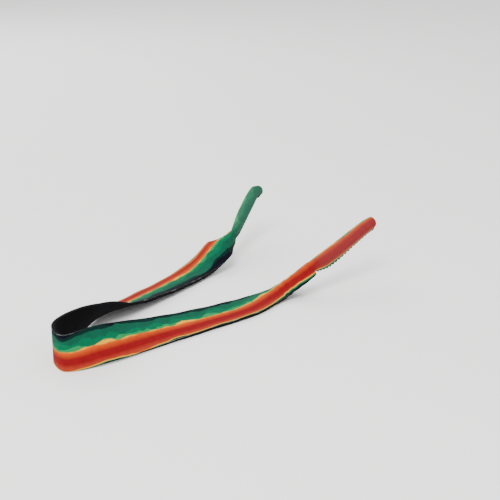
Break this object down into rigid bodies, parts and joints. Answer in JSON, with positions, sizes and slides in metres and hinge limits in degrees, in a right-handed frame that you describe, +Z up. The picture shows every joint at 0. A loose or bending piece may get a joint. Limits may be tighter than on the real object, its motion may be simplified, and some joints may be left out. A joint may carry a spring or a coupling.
{
  "type": "eyeglass retainer strap",
  "caption": "Foam laminate retainer strap for eyeglasses with a stitched sleeve at each end for a temple tip, standing on its edge in a loop with a half twist.",
  "frame": {"origin": "bottom centre of the bounding box, on the surface that the strap stands on", "axes": "+Z up; +Y from the nape bend towards the sleeve mouths, along the temples; +X to the wearer's right"},
  "size_m": [0.1432, 0.2908, 0.0476],
  "materials": {
    "printed_fabric": "sublimation printed knit face in green, orange and red bands, matt with a faint sheen",
    "foam": "black closed-cell foam, seen only along the cut edges",
    "backing_jersey": "black knitted jersey lining, matt",
    "thread": "twisted polyester overcast thread with a soft sheen"
  },
  "bodies": {
    "right_sleeve": {"right_sleeve_face_fabric": "printed_fabric", "right_sleeve_foam_core": "foam", "right_sleeve_jersey_backing": "backing_jersey", "right_seam_thread": "thread"},
    "right_run": {"right_run_face_fabric": "printed_fabric", "right_run_foam_core": "foam", "right_run_jersey_backing": "backing_jersey"},
    "nape": {"nape_face_fabric": "printed_fabric", "nape_foam_core": "foam", "nape_jersey_backing": "backing_jersey"},
    "left_run": {"left_run_face_fabric": "printed_fabric", "left_run_foam_core": "foam", "left_run_jersey_backing": "backing_jersey"},
    "left_sleeve": {"left_sleeve_face_fabric": "printed_fabric", "left_sleeve_foam_core": "foam", "left_sleeve_jersey_backing": "backing_jersey", "left_seam_thread": "thread"}
  },
  "joints": [
    {"name": "right_nape_bend", "type": "hinge", "parent": "nape", "child": "right_run", "pos_m": [0.04636, -0.13572, 0.0128], "axis": [0, 0, 1], "range_deg": [-40, 8], "stiffness_Nm_per_rad": 0.01},
    {"name": "left_nape_bend", "type": "hinge", "parent": "nape", "child": "left_run", "pos_m": [0.01342, -0.11778, 0.0128], "axis": [0, 0, 1], "range_deg": [-8, 40], "stiffness_Nm_per_rad": 0.01},
    {"name": "right_sleeve_swing", "type": "hinge", "parent": "right_run", "child": "right_sleeve", "pos_m": [0.0634, 0.06978, 0.0202], "axis": [0, 0, 1], "range_deg": [-20, 20], "stiffness_Nm_per_rad": 0.01},
    {"name": "left_sleeve_swing", "type": "hinge", "parent": "left_run", "child": "left_sleeve", "pos_m": [-0.03943, 0.08526, 0.01735], "axis": [0, 0, 1], "range_deg": [-20, 20], "stiffness_Nm_per_rad": 0.01}
  ]
}
